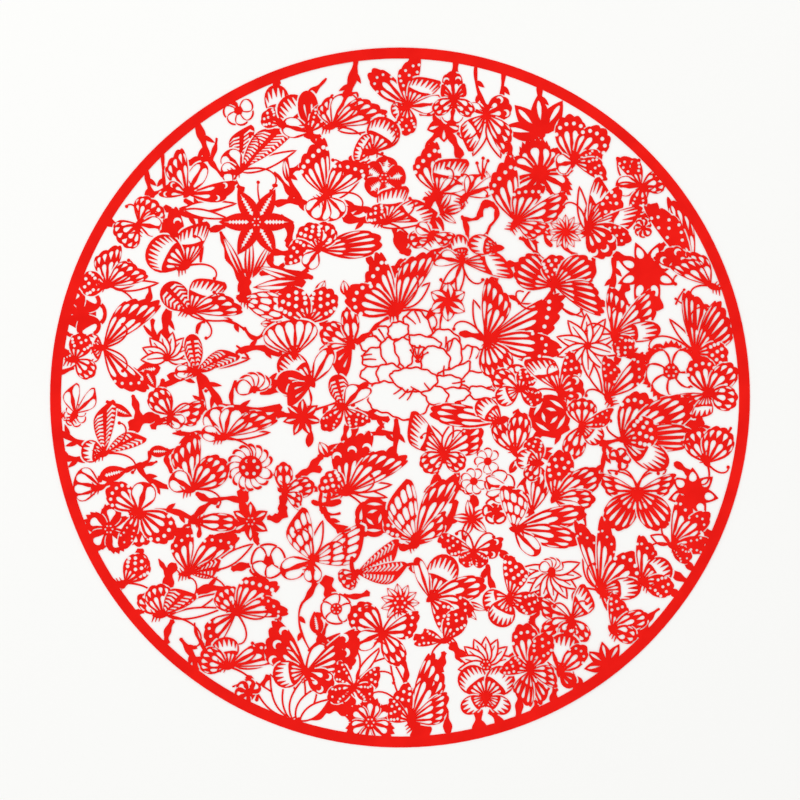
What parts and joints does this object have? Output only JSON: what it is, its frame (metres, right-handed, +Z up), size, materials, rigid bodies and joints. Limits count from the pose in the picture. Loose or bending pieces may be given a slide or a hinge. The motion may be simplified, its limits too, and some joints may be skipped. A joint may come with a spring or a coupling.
{
  "type": "round paper cutting",
  "caption": "Flat round sheet of red paper cut through with butterflies and flowers inside a plain ring, for pasting on a window or laying on a card.",
  "frame": {"origin": "centre of the sheet's underside", "axes": "+Z up out of the sheet's front face, +Y towards the top of the picture"},
  "size_m": [0.35, 0.35, 0.0002],
  "materials": {
    "red_paper": "matt dyed paper"
  },
  "bodies": {
    "root": {"paper": "red_paper"}
  },
  "joints": []
}
